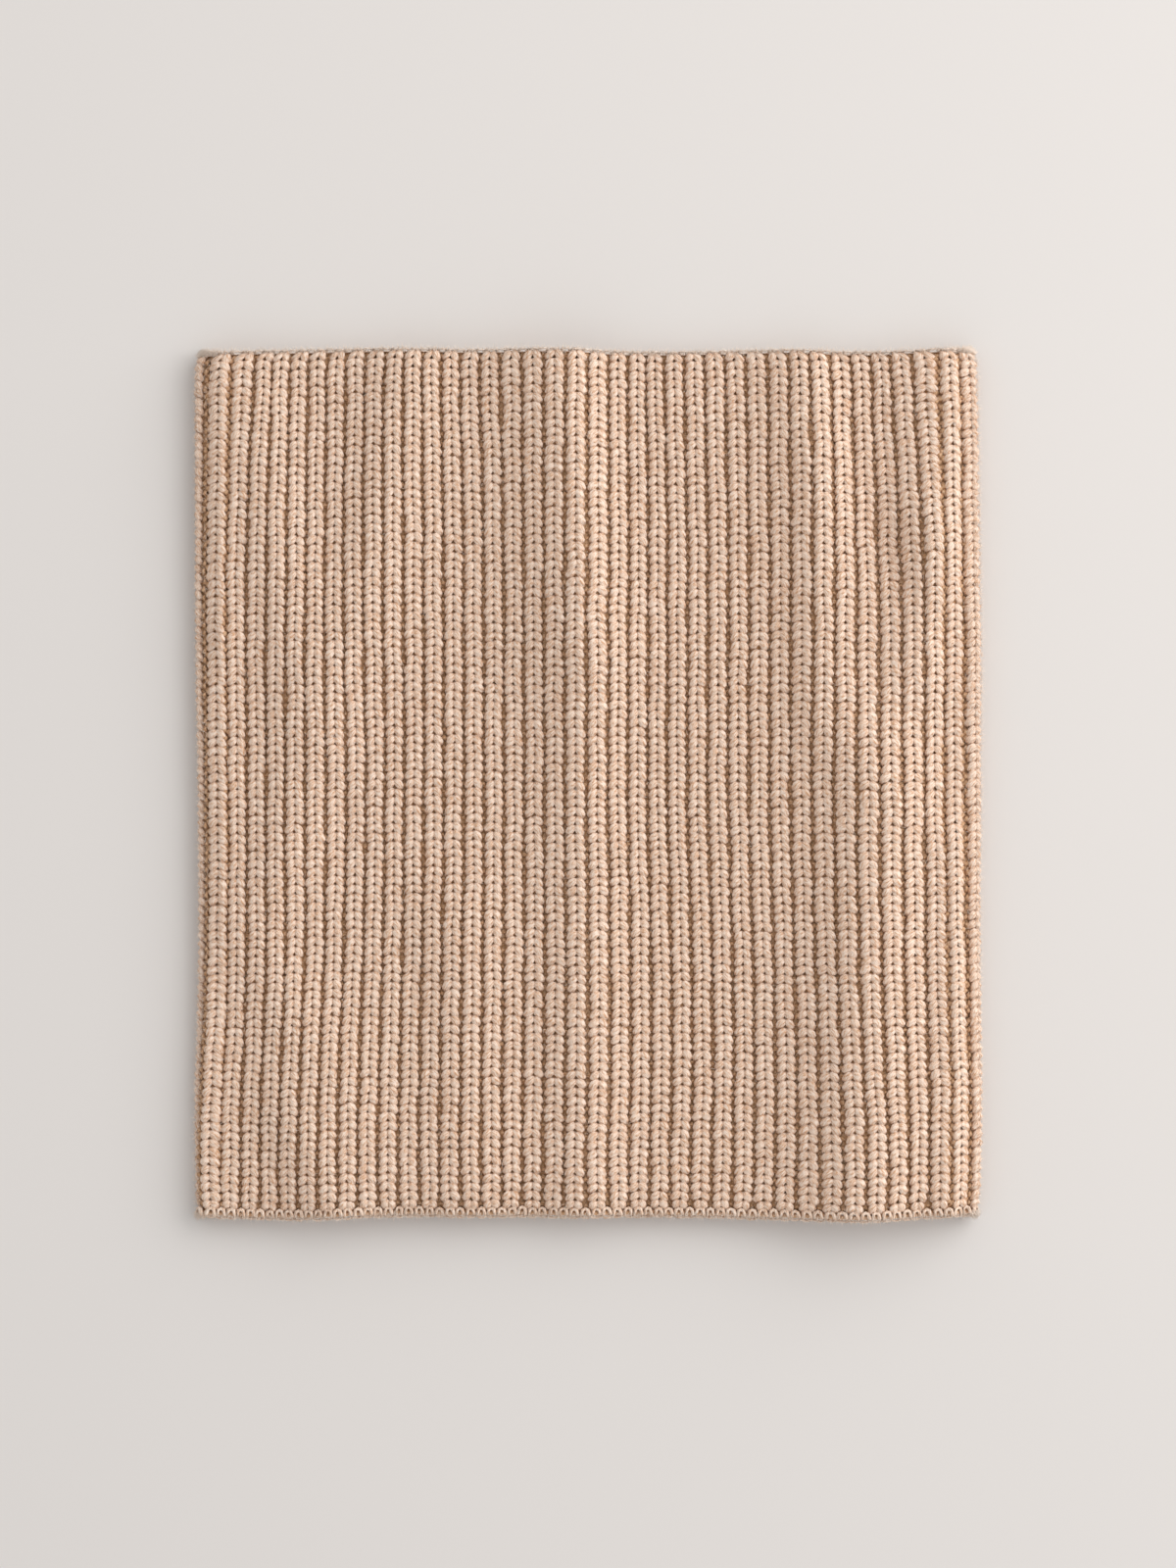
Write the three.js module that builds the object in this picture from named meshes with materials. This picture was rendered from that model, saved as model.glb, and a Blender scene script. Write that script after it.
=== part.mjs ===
// An infinity scarf: a tube of chunky one-by-one rib knit, laid flat.
//
// Millimetres, +Z up. The scarf lies on the plane Z = 0. Its ribs run along Y,
// with the bound-off mouth towards -Y and the cast-on mouth towards +Y, and its
// two side folds lie towards -X and +X. The tube is one wall, lofted through
// rings that each go once around it: over the front, round the left fold, back
// along the underside and round the right fold.
import * as THREE from 'three';

// Driving sizes of the garment.
const WIDTH = 300;
const LENGTH = 331.6;
const RIBS_AROUND = 76;

// The cloth: its wall through a rib's crest, the grooves between the ribs, and
// the air that is left between the front and the back where they lie closest.
const WALL = 5.2;
const GROOVE_DEPTH = 2.2;
const LAYER_GAP = 0.4;

// The two edges are beads that close the stitches. `height` is along Y.
const BIND_OFF = { height: 3.4, thickness: 3.6 };
const CAST_ON = { height: 1.8, thickness: 3.2 };
const SEAM_GAP = 0.3;

// A rib's end rounds down to its edge over this length and by this depth.
const SHOULDER = { length: 4, drop: 1.9 };

// Sizes that follow from these.
const FOLD_RADIUS = WALL + LAYER_GAP / 2;
const MID_RADIUS = FOLD_RADIUS - WALL / 2;
const FLAT_RUN = WIDTH - 2 * FOLD_RADIUS;
const GIRTH = 2 * FLAT_RUN + 2 * Math.PI * MID_RADIUS;
const PITCH = GIRTH / RIBS_AROUND;
const HALF_WAY = RIBS_AROUND / 2;
const QUARTER_FOLD = (Math.PI / 2) * MID_RADIUS / PITCH;
const RIB_FOOT = -LENGTH / 2 + BIND_OFF.height + SEAM_GAP;
const RIB_HEAD = LENGTH / 2 - CAST_ON.height - SEAM_GAP;

// Soft ridges in the front where it stands off the back. Each runs down from
// one point to another; its sides fall away over `left` and `right`.
const RIDGES = [
  { name: 'centre, upper', x0: -13, y0: 166, x1: -3, y1: 60, left: 22, right: 17, height: 10 },
  { name: 'centre, lower', x0: -2, y0: 20, x1: -2, y1: -166, left: 16, right: 14, height: 6.4 },
  { name: 'right, upper', x0: 85, y0: 150, x1: 95, y1: 40, left: 17, right: 15, height: 6.5 },
  { name: 'right, lower', x0: 112, y0: 5, x1: 105, y1: -166, left: 27, right: 26, height: 10.5 },
  { name: 'right corner', x0: 140, y0: 166, x1: 130, y1: 60, left: 19, right: 20, height: 5.5 },
  { name: 'left slant', x0: -142, y0: 166, x1: -110, y1: 50, left: 18, right: 18, height: 5.5 },
  { name: 'left middle', x0: -70, y0: 150, x1: -86, y1: 70, left: 14, right: 17, height: 5.6 },
  { name: 'left run', x0: -106, y0: 10, x1: -120, y1: -30, left: 18, right: 16, height: 4.6 },
  { name: 'left low slant', x0: -132, y0: -60, x1: -112, y1: -90, left: 14, right: 14, height: 3.4 },
  { name: 'left foot', x0: -106, y0: -125, x1: -90, y1: -166, left: 16, right: 30, height: 5.2 },
  { name: 'low middle', x0: -48, y0: -60, x1: -44, y1: -166, left: 18, right: 22, height: 4.2 },
];
const RIDGE_END = 26;
const FOLD_CALM = 30;

// How far the ribs have slid round the tube, towards the left on the front, at
// five heights. `rib` counts from the right fold; the front ends at rib 38.
const SLIDE_HEIGHTS = { bottom: -156, lower: -80, middle: 0, upper: 90, top: 161 };
const SLIDE = [
  { rib: 0.5, bottom: -0.5, lower: 0.5, middle: 2, upper: 1.5, top: 1.5 },
  { rib: 2.5, bottom: 0, lower: 1.5, middle: 2.5, upper: 3, top: 5.5 },
  { rib: 5.5, bottom: 0.5, lower: 3.5, middle: 5, upper: 4.5, top: 5 },
  { rib: 8.5, bottom: 3, lower: 4, middle: 6, upper: 5.5, top: 5.5 },
  { rib: 13.5, bottom: 4, lower: 4, middle: 6, upper: 5.5, top: 6 },
  { rib: 17.5, bottom: 4, lower: 4, middle: 5, upper: 4, top: 3.5 },
  { rib: 19.5, bottom: 5, lower: 5, middle: 5.5, upper: 5, top: 4 },
  { rib: 23.5, bottom: 5, lower: 5.5, middle: 5, upper: 4.5, top: 5.5 },
  { rib: 27.5, bottom: 5, lower: 5, middle: 4, upper: 3.5, top: 3 },
  { rib: 30.5, bottom: 4.5, lower: 4, middle: 2.5, upper: 2.5, top: 1.5 },
  { rib: 33.5, bottom: 3.5, lower: 2.5, middle: 2, upper: 0.5, top: -0.5 },
  { rib: 35.5, bottom: 2.5, lower: 1.5, middle: 1, upper: 0, top: -3 },
  { rib: 37.5, bottom: 2.5, lower: 1, middle: 0.5, upper: 0, top: -1 },
  { rib: 50, bottom: 2, lower: 2, middle: 1, upper: 0, top: 1 },
  { rib: 64, bottom: 0, lower: 1, middle: 2, upper: 1, top: 0 },
  { rib: 76.5, bottom: -0.5, lower: 0.5, middle: 2, upper: 1.5, top: 1.5 },
];

// Where the two folds run: the outermost X on the left and on the right. They
// draw in at the corners.
const FOLD_LINES = [
  { y: -165.8, left: -148.8, right: 147.8 },
  { y: -163, left: -150.2, right: 149.2 },
  { y: -125, left: -150.6, right: 150.8 },
  { y: -70, left: -149.4, right: 149.8 },
  { y: -5, left: -149.3, right: 150.2 },
  { y: 50, left: -150, right: 150.2 },
  { y: 105, left: -151, right: 149.5 },
  { y: 160, left: -151, right: 148.9 },
  { y: 163.5, left: -150.2, right: 148.2 },
  { y: 165.8, left: -148, right: 146 },
];

// How far the two mouths stray from straight, along Y.
const MOUTH_LINES = [
  { x: -145, bindOff: 0, castOn: -0.9 },
  { x: -115, bindOff: -0.8, castOn: 0 },
  { x: -85, bindOff: 0.4, castOn: 0.6 },
  { x: -30, bindOff: 0.3, castOn: 0 },
  { x: 25, bindOff: 0.2, castOn: -0.6 },
  { x: 70, bindOff: -0.5, castOn: 0 },
  { x: 105, bindOff: -0.4, castOn: -0.5 },
  { x: 140, bindOff: 0.6, castOn: 0.4 },
];

// A rib's profile: offsets from its middle in rib widths, and the share of the
// groove's depth there. Each rib's row of points starts in the groove before it.
const RIB_PROFILE = [
  { offset: -0.5, depth: 1 },
  { offset: -0.37, depth: 0.42 },
  { offset: -0.17, depth: 0 },
  { offset: 0.17, depth: 0 },
  { offset: 0.37, depth: 0.42 },
];
const FIRST_RIB = 0;
const LAST_RIB = HALF_WAY;
const LAST_GROOVE = LAST_RIB + 0.5;

// How finely the rings and the runs between them are divided.
const RIB_STATIONS = 12;
const UNDERSIDE_POINTS = 16;
const INNER_RUN_POINTS = 36;
const FOLD_POINTS = 6;
const BEAD_RUN_POINTS = 22;
const BEAD_SIDES = 8;

const clamp01 = (t) => Math.min(1, Math.max(0, t));

const easeInOut = (t) => clamp01(t) ** 2 * (3 - 2 * clamp01(t));

// A smooth curve through (at, value), level beyond both ends.
function curveThrough(at, value) {
  const last = at.length - 1;
  const slope = at.map((_, i) => {
    const before = Math.max(i - 1, 0);
    const after = Math.min(i + 1, last);
    return (value[after] - value[before]) / (at[after] - at[before]);
  });
  return (x) => {
    if (x <= at[0]) return value[0];
    if (x >= at[last]) return value[last];
    const i = at.findIndex((a) => a > x) - 1;
    const span = at[i + 1] - at[i];
    const t = (x - at[i]) / span;
    const rise = value[i + 1] - value[i];
    const bend = (1 - t) * slope[i] * span - t * slope[i + 1] * span - (1 - 2 * t) * rise;
    return value[i] + t * rise + t * (1 - t) * bend;
  };
}

const columnCurve = (table, key, column) =>
  curveThrough(table.map((row) => row[key]), table.map((row) => row[column]));

const leftFold = columnCurve(FOLD_LINES, 'y', 'left');
const rightFold = columnCurve(FOLD_LINES, 'y', 'right');
const bindOffLine = columnCurve(MOUTH_LINES, 'x', 'bindOff');
const castOnLine = columnCurve(MOUTH_LINES, 'x', 'castOn');
const slideColumns = Object.keys(SLIDE_HEIGHTS).map((name) => columnCurve(SLIDE, 'rib', name));

// How far rib number `rib` has slid round the tube at height y.
function slide(rib, y) {
  const row = slideColumns.map((column) => column(rib));
  return curveThrough(Object.values(SLIDE_HEIGHTS), row)(y);
}

// The height that one soft ridge adds at (x, y).
function ridgeHeight(ridge, x, y) {
  const dx = ridge.x1 - ridge.x0;
  const dy = ridge.y1 - ridge.y0;
  const length = Math.hypot(dx, dy);
  const along = ((x - ridge.x0) * dx + (y - ridge.y0) * dy) / length;
  const beyond = Math.max(0, -along, along - length);
  const across = ((x - ridge.x0) * dy - (y - ridge.y0) * dx) / length;
  const side = across > 0 ? ridge.left : ridge.right;
  return ridge.height * Math.exp(-((across / side) ** 2) - (beyond / RIDGE_END) ** 2);
}

// How far the front stands off the back at (x, y), calm near both folds.
function loft(x, y) {
  const inward = Math.min(x - leftFold(y), rightFold(y) - x) - FOLD_RADIUS;
  const total = RIDGES.reduce((sum, ridge) => sum + ridgeHeight(ridge, x, y), 0);
  return total * easeInOut(inward / FOLD_CALM);
}

// The point on the tube's outside, at the height of the rib crests, that lies
// `around` rib widths from the right fold, and the way out of the cloth there.
function crestPoint(around, y) {
  const right = rightFold(y) - FOLD_RADIUS;
  const left = leftFold(y) + FOLD_RADIUS;
  const run = HALF_WAY - 2 * QUARTER_FOLD;
  const turn = ((around + QUARTER_FOLD) % RIBS_AROUND + RIBS_AROUND) % RIBS_AROUND - QUARTER_FOLD;
  if (turn > QUARTER_FOLD && turn < HALF_WAY - QUARTER_FOLD) {
    const x = right + (left - right) * (turn - QUARTER_FOLD) / run;
    return { x, z: 2 * FOLD_RADIUS + loft(x, y), outX: 0, outZ: 1 };
  }
  if (turn > HALF_WAY + QUARTER_FOLD) {
    const x = left + (right - left) * (turn - HALF_WAY - QUARTER_FOLD) / run;
    return { x, z: 0, outX: 0, outZ: -1 };
  }
  const onRight = turn <= QUARTER_FOLD;
  const angle = (Math.PI / 2) * (onRight ? turn : HALF_WAY - turn) / QUARTER_FOLD;
  const outX = (onRight ? 1 : -1) * Math.cos(angle);
  const outZ = Math.sin(angle);
  return {
    x: (onRight ? right : left) + FOLD_RADIUS * outX,
    z: FOLD_RADIUS * (1 + outZ),
    outX,
    outZ,
  };
}

// A point of the cloth, `depth` below the crests.
function clothPoint(around, y, depth) {
  const crest = crestPoint(around, y);
  const x = crest.x - depth * crest.outX;
  const upward = clamp01(y / LENGTH + 0.5);
  const stray = upward * castOnLine(x) + (1 - upward) * bindOffLine(x);
  return new THREE.Vector3(x, y + stray, crest.z - depth * crest.outZ);
}

// The ribs have relief on the front and the folds, and none on the underside.
const reliefShare = (around, y) => easeInOut((crestPoint(around, y).outZ + 0.95) / 0.6);

// How far a rib's crest has rounded down near its two ends.
function shoulder(y) {
  const toEnd = Math.min(y - RIB_FOOT, RIB_HEAD - y);
  const t = clamp01(1 - toEnd / SHOULDER.length);
  return SHOULDER.drop * (1 - Math.sqrt(1 - 0.96 * t * t));
}

// The places round one outer ring, as ribs and shares of the groove's depth.
const outerPlaces = [];
for (let rib = FIRST_RIB; rib <= LAST_RIB; rib += 1) {
  for (const { offset, depth } of RIB_PROFILE) outerPlaces.push({ rib: rib + offset, depth });
}
outerPlaces.push({ rib: LAST_GROOVE, depth: 1 });
for (let i = 1; i < UNDERSIDE_POINTS; i += 1) {
  const share = i / UNDERSIDE_POINTS;
  const rib = LAST_GROOVE + share * (RIBS_AROUND - 0.5 - LAST_GROOVE);
  outerPlaces.push({ rib, depth: 0 });
}

// One ring of points round the outside at height y, with its place round the tube.
function outerRing(y) {
  return outerPlaces.map(({ rib, depth }) => {
    const around = rib + slide(rib, y) / PITCH;
    const share = reliefShare(around, y);
    const fall = GROOVE_DEPTH * depth + shoulder(y) * (1 - depth);
    return { around, point: clothPoint(around, y, fall * share) };
  });
}

// The places round a plain ring: points on both folds and along both runs.
function plainPlaces(runPoints) {
  const places = [];
  for (const centre of [0, HALF_WAY]) {
    for (let i = 0; i <= FOLD_POINTS; i += 1) {
      places.push(centre + QUARTER_FOLD * (2 * i / FOLD_POINTS - 1));
    }
    for (let i = 1; i < runPoints; i += 1) {
      places.push(centre + QUARTER_FOLD + (HALF_WAY - 2 * QUARTER_FOLD) * i / runPoints);
    }
  }
  return places;
}

const innerPlaces = plainPlaces(INNER_RUN_POINTS);

const innerRing = (y) =>
  innerPlaces.map((around) => ({ around, point: clothPoint(around, y, WALL) }));

// Collects points and triangles into one closed surface.
class Surface {
  constructor() {
    this.positions = [];
    this.indices = [];
  }

  // Adds a ring of { around, point } and returns it with its point numbers.
  addRing(ring) {
    return ring.map(({ around, point }) => {
      this.positions.push(point.x, point.y, point.z);
      return { around, index: this.positions.length / 3 - 1 };
    });
  }

  triangle(a, b, c, flip) {
    this.indices.push(...(flip ? [a, c, b] : [a, b, c]));
  }

  // The band between two rings of the same number of points.
  band(lower, upper, flip) {
    lower.forEach((_, i) => {
      const next = (i + 1) % lower.length;
      this.triangle(lower[i].index, upper[i].index, upper[next].index, flip);
      this.triangle(lower[i].index, upper[next].index, lower[next].index, flip);
    });
  }

  // The flat end of a wall, between an outer and an inner ring of different
  // numbers of points, stepping along whichever ring lags behind.
  wallEnd(outer, inner, flip) {
    let i = 0;
    let j = 0;
    const place = (ring, n) => ring[n % ring.length].around + RIBS_AROUND * Math.floor(n / ring.length);
    while (i < outer.length || j < inner.length) {
      const a = outer[i % outer.length].index;
      const b = inner[j % inner.length].index;
      const outerNext = i < outer.length ? place(outer, i + 1) : Infinity;
      const innerNext = j < inner.length ? place(inner, j + 1) : Infinity;
      if (outerNext <= innerNext) {
        i += 1;
        this.triangle(a, outer[i % outer.length].index, b, flip);
      } else {
        j += 1;
        this.triangle(a, inner[j % inner.length].index, b, flip);
      }
    }
  }

  geometry() {
    const geometry = new THREE.BufferGeometry();
    geometry.setAttribute('position', new THREE.Float32BufferAttribute(this.positions, 3));
    geometry.setIndex(this.indices);
    geometry.computeVertexNormals();
    return geometry;
  }
}

// The heights of the rings: close together where the ribs round down.
function ringHeights() {
  const near = [0, 0.12, 0.45, 1].map((share) => share * SHOULDER.length);
  const low = RIB_FOOT + SHOULDER.length;
  const high = RIB_HEAD - SHOULDER.length;
  const between = [];
  for (let i = 1; i < RIB_STATIONS; i += 1) between.push(low + (high - low) * i / RIB_STATIONS);
  return [
    ...near.map((step) => RIB_FOOT + step),
    ...between,
    ...near.map((step) => RIB_HEAD - step).reverse(),
  ];
}

// The knitted tube: an outer skin with its ribs over a plain inside.
function tubeGeometry() {
  const surface = new Surface();
  const heights = ringHeights();
  const outer = heights.map((y) => surface.addRing(outerRing(y)));
  const inner = heights.map((y) => surface.addRing(innerRing(y)));
  for (let i = 1; i < heights.length; i += 1) {
    surface.band(outer[i - 1], outer[i], false);
    surface.band(inner[i - 1], inner[i], true);
  }
  surface.wallEnd(outer[0], inner[0], false);
  surface.wallEnd(outer.at(-1), inner.at(-1), true);
  return surface.geometry();
}

// An edge: a bead that goes round the whole mouth, in the middle of the wall.
function beadGeometry(middleY, { height, thickness }) {
  const surface = new Surface();
  const places = plainPlaces(BEAD_RUN_POINTS);
  const lines = [];
  for (let i = 0; i < BEAD_SIDES; i += 1) {
    const angle = (2 * Math.PI * (i + 0.5)) / BEAD_SIDES;
    const flat = Math.cos(Math.PI / BEAD_SIDES);
    const y = middleY + (height / 2) * Math.cos(angle) / flat;
    const depth = WALL / 2 + (thickness / 2) * Math.sin(angle) / flat;
    lines.push(surface.addRing(places.map((around) => ({
      around,
      point: beadPoint(around, middleY, y, depth),
    }))));
  }
  lines.forEach((line, i) => surface.band(line, lines[(i + 1) % BEAD_SIDES], false));
  return surface.geometry();
}

// A bead keeps its section as it goes: all of it follows the cloth at its middle.
function beadPoint(around, middleY, y, depth) {
  const point = clothPoint(around, middleY, depth);
  return point.setY(point.y + y - middleY);
}

const yarn = (color) => new THREE.MeshStandardMaterial({ color, roughness: 0.95, metalness: 0 });

function piece(name, geometry, material) {
  const mesh = new THREE.Mesh(geometry, material);
  mesh.name = name;
  return mesh;
}

const scarf = new THREE.Group();
scarf.add(
  piece('rib_tube', tubeGeometry(), yarn(0xd9b99e)),
  piece('bind_off_edge', beadGeometry(-LENGTH / 2 + BIND_OFF.height / 2, BIND_OFF), yarn(0xe2c5ab)),
  piece('cast_on_edge', beadGeometry(LENGTH / 2 - CAST_ON.height / 2, CAST_ON), yarn(0xdcbfa6)),
);

export default scarf;
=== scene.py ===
# %% [markdown]
# An infinity scarf in chunky one-by-one rib, laid flat on a pale surface.
# The real one is a tube: ribs run round it side by side, with a chained
# bind-off at one mouth and a thin cast-on edge at the other. This lesson
# builds the cloth, then lays yarn over it stitch by stitch, and ends with the
# light and the camera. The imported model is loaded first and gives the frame.

# %% Load the frame
import math

import bpy
import numpy as np
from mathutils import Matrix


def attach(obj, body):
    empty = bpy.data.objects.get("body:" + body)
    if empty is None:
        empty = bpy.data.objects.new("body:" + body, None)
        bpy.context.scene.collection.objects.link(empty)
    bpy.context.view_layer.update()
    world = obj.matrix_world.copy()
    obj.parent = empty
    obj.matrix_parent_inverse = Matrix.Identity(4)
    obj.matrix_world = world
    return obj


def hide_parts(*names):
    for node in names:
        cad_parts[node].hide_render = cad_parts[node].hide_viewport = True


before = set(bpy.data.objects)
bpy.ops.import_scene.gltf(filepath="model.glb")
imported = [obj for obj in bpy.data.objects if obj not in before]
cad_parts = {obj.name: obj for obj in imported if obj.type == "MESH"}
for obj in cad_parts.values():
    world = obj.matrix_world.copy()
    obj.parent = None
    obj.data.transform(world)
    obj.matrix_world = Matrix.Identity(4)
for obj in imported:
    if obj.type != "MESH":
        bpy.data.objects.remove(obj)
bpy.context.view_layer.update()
MM = 0.001

# %% [markdown]
# The garment's own sizes, in millimetres. They are the sizes that a knitter
# would work from: how wide and long the tube lies, how many ribs go round and
# how many courses go down, how thick the cloth is, how tall the edges are, and
# how a rib rounds down at its ends. The rest follows from them, so that a
# change here moves every stitch.

# %% Sizes of the scarf
WIDTH, LENGTH = 300, 331.6
RIBS_AROUND, COURSES = 76, 98
WALL, LAYER_GAP = 5.2, 0.4
BIND_OFF = {"height": 3.4, "thickness": 3.6}
CAST_ON = {"height": 1.8, "thickness": 3.2}
SEAM_GAP = 0.3
RIB_END = {"length": 3.6, "head_drop": 1.5, "foot_drop": 0.9, "narrower": 0.2, "turn": 0.96}

FOLD_RADIUS = WALL + LAYER_GAP / 2
MID_RADIUS = FOLD_RADIUS - WALL / 2
FLAT_RUN = WIDTH - 2 * FOLD_RADIUS
GIRTH = 2 * FLAT_RUN + 2 * math.pi * MID_RADIUS
PITCH = GIRTH / RIBS_AROUND
HALF_WAY = RIBS_AROUND / 2
QUARTER_FOLD = (math.pi / 2) * MID_RADIUS / PITCH
RIB_FOOT = -LENGTH / 2 + BIND_OFF["height"] + SEAM_GAP
KNIT_HEAD = LENGTH / 2 - SEAM_GAP
COURSE = (KNIT_HEAD - RIB_FOOT) / COURSES
print(f"rib pitch {PITCH:.2f} mm, course {COURSE:.2f} mm, girth {GIRTH:.0f} mm")

# %% [markdown]
# A knitted tube never lies quite even. Its front stands off the back in a few
# long soft ridges, with narrower creases on and beside them. A cloth simulation
# would make waves of this kind, but not these ones in these places, so each is
# a row of a table: the line that it runs along, how wide it is to the left and
# right of that line, and how high it stands. One of negative height is a trough.
# After each table comes how far its ridges reach beyond their ends, and how far
# from a fold they have their full height.

# %% Ridges and creases
RIDGES = [
    {"name": "centre, upper", "x": (-13, -3), "y": (166, 60), "left": 22, "right": 17, "height": 10},
    {"name": "centre, lower", "x": (-2, -2), "y": (20, -166), "left": 16, "right": 14, "height": 6.4},
    {"name": "right, upper", "x": (85, 95), "y": (150, 40), "left": 17, "right": 15, "height": 6.5},
    {"name": "right, lower", "x": (112, 105), "y": (5, -166), "left": 27, "right": 26, "height": 10.5},
    {"name": "right corner", "x": (140, 130), "y": (166, 60), "left": 19, "right": 20, "height": 5.5},
    {"name": "left slant", "x": (-142, -110), "y": (166, 50), "left": 18, "right": 18, "height": 5.5},
    {"name": "left middle", "x": (-70, -86), "y": (150, 70), "left": 14, "right": 17, "height": 5.6},
    {"name": "left run", "x": (-106, -120), "y": (10, -30), "left": 18, "right": 16, "height": 4.6},
    {"name": "left low slant", "x": (-132, -112), "y": (-60, -90), "left": 14, "right": 14, "height": 3.4},
    {"name": "left foot", "x": (-106, -90), "y": (-125, -166), "left": 16, "right": 30, "height": 5.2},
    {"name": "low middle", "x": (-48, -44), "y": (-60, -166), "left": 18, "right": 22, "height": 4.2},
]
RIDGE_END, FOLD_CALM = 26, 30
CREASES = [
    {"name": "centre crest", "x": (-4, -1), "y": (166, 50), "left": 9, "right": 9, "height": 2.2},
    {"name": "right trough", "x": (98, 117), "y": (166, 80), "left": 11, "right": 9, "height": -3.2},
    {"name": "right crest", "x": (86, 86), "y": (125, 30), "left": 8, "right": 8, "height": 1.8},
    {"name": "right corner edge", "x": (140, 137), "y": (166, 80), "left": 12, "right": 5, "height": 4.2},
    {"name": "right edge, upper", "x": (130, 128), "y": (100, 40), "left": 17, "right": 8, "height": 3.8},
    {"name": "right rise", "x": (104, 100), "y": (0, -166), "left": 12, "right": 20, "height": 2.4},
    {"name": "right edge, lower", "x": (140, 139), "y": (-25, -166), "left": 13, "right": 5, "height": 5.4},
    {"name": "left edge, upper", "x": (-146, -143), "y": (166, 60), "left": 4, "right": 11, "height": 2.8},
    {"name": "left edge, middle", "x": (-143, -141), "y": (50, -60), "left": 4, "right": 10, "height": 1.6},
    {"name": "left foot", "x": (-120, -100), "y": (-120, -166), "left": 9, "right": 12, "height": 1.6},
    {"name": "low left trough", "x": (-90, -70), "y": (-20, -75), "left": 8, "right": 8, "height": -1.5},
    {"name": "mouth droop", "x": (-78, 0), "y": (-172, -172), "left": 15, "right": 15, "height": -3},
]
CREASE_END, CREASE_CALM = 14, 6
print(len(RIDGES), "ridges and", len(CREASES), "creases")

# %% [markdown]
# The ribs slide a little to one side or the other, and the tube's four edges
# wander. A row of the first table gives how far one rib is slid at five
# heights, and the last rib's row is the first one's again, because the ribs go
# all round. The other two tables give where the folds and the mouths lie.

# %% Slides and outlines
SLIDE_HEIGHTS = [-156, -80, 0, 90, 161]
SLIDE = [
    {"rib": 0, "slides": (1.2, 2, 2.7, 3.3, 3.3)},
    {"rib": 1, "slides": (-0.3, 0.9, 2.5, 2.6, 3)},
    {"rib": 2.5, "slides": (0, 1.5, 2.5, 3, 5.5)},
    {"rib": 5.5, "slides": (0.5, 3.5, 5, 4.5, 5)},
    {"rib": 8.5, "slides": (3, 4, 6, 5.5, 5.5)},
    {"rib": 13.5, "slides": (4, 4, 6, 5.5, 6)},
    {"rib": 17.5, "slides": (4, 4, 5, 4, 3.5)},
    {"rib": 19.5, "slides": (5, 5, 5.5, 5, 4)},
    {"rib": 23.5, "slides": (5, 5.5, 5, 4.5, 5.5)},
    {"rib": 27.5, "slides": (5, 5, 4, 3.5, 3)},
    {"rib": 30.5, "slides": (4.5, 4, 2.5, 2.5, 1.5)},
    {"rib": 33.5, "slides": (3.5, 2.5, 2, 0.5, -0.5)},
    {"rib": 35.5, "slides": (2.5, 1.5, 1, 0, -3)},
    {"rib": 37.5, "slides": (2.5, 1, 0.5, 0, -1)},
    {"rib": 50, "slides": (2, 2, 1, 0, 1)},
    {"rib": 64, "slides": (0, 1, 2, 1, 0)},
]
SLIDE.append({**SLIDE[0], "rib": RIBS_AROUND})
FOLD_LINES = [
    {"y": -165.8, "left": -150.2, "right": 148.6},
    {"y": -163, "left": -151.4, "right": 149.8},
    {"y": -125, "left": -151.7, "right": 151},
    {"y": -70, "left": -150.1, "right": 150.5},
    {"y": -5, "left": -150.3, "right": 150.8},
    {"y": 50, "left": -151.1, "right": 151},
    {"y": 105, "left": -151.4, "right": 150.4},
    {"y": 160, "left": -151.4, "right": 149.4},
    {"y": 163.5, "left": -150.6, "right": 148.7},
    {"y": 165.8, "left": -148.3, "right": 146.4},
]
MOUTH_LINES = [
    {"x": -145, "bind_off": 0, "cast_on": -0.9},
    {"x": -115, "bind_off": -0.8, "cast_on": 0},
    {"x": -85, "bind_off": 0.4, "cast_on": 0.6},
    {"x": -30, "bind_off": 0.3, "cast_on": 0},
    {"x": 25, "bind_off": 0.2, "cast_on": -0.6},
    {"x": 70, "bind_off": -0.5, "cast_on": 0},
    {"x": 105, "bind_off": -0.4, "cast_on": -0.5},
    {"x": 140, "bind_off": 0.6, "cast_on": 0.4},
]
print("slides for", len(SLIDE), "ribs,", len(FOLD_LINES), "places along each fold")

# %% [markdown]
# A few rows are enough for a table, because one smooth curve runs through each
# of its columns. From row to row it is a cubic, and its slope at a row is that
# of the line between the row before and the row after.

# %% Curves through the tables
def smooth_curve(at, values):
    """A curve through the values at their places, level beyond both ends.

    A value may be one number, or a row with one number for each point asked."""
    at = np.array(at, float)
    values = np.array(values, float)
    after = np.minimum(np.arange(len(at)) + 1, len(at) - 1)
    before = np.maximum(np.arange(len(at)) - 1, 0)
    run = (at[after] - at[before]).reshape(-1, *[1] * (values.ndim - 1))
    slopes = (values[after] - values[before]) / run

    def curve(places):
        places = np.clip(places, at[0], at[-1])
        i = np.clip(np.searchsorted(at, places, side="right") - 1, 0, len(at) - 2)
        here = (i,) if values.ndim == 1 else (i, np.arange(len(places)))
        there = (i + 1,) if values.ndim == 1 else (i + 1, np.arange(len(places)))
        span = at[i + 1] - at[i]
        t = (places - at[i]) / span
        rise = values[there] - values[here]
        bend = (1 - t) * slopes[here] * span - t * slopes[there] * span - (1 - 2 * t) * rise
        return values[here] + t * rise + t * (1 - t) * bend

    return curve


def column_curve(table, key, column):
    return smooth_curve([row[key] for row in table], [row[column] for row in table])


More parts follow.
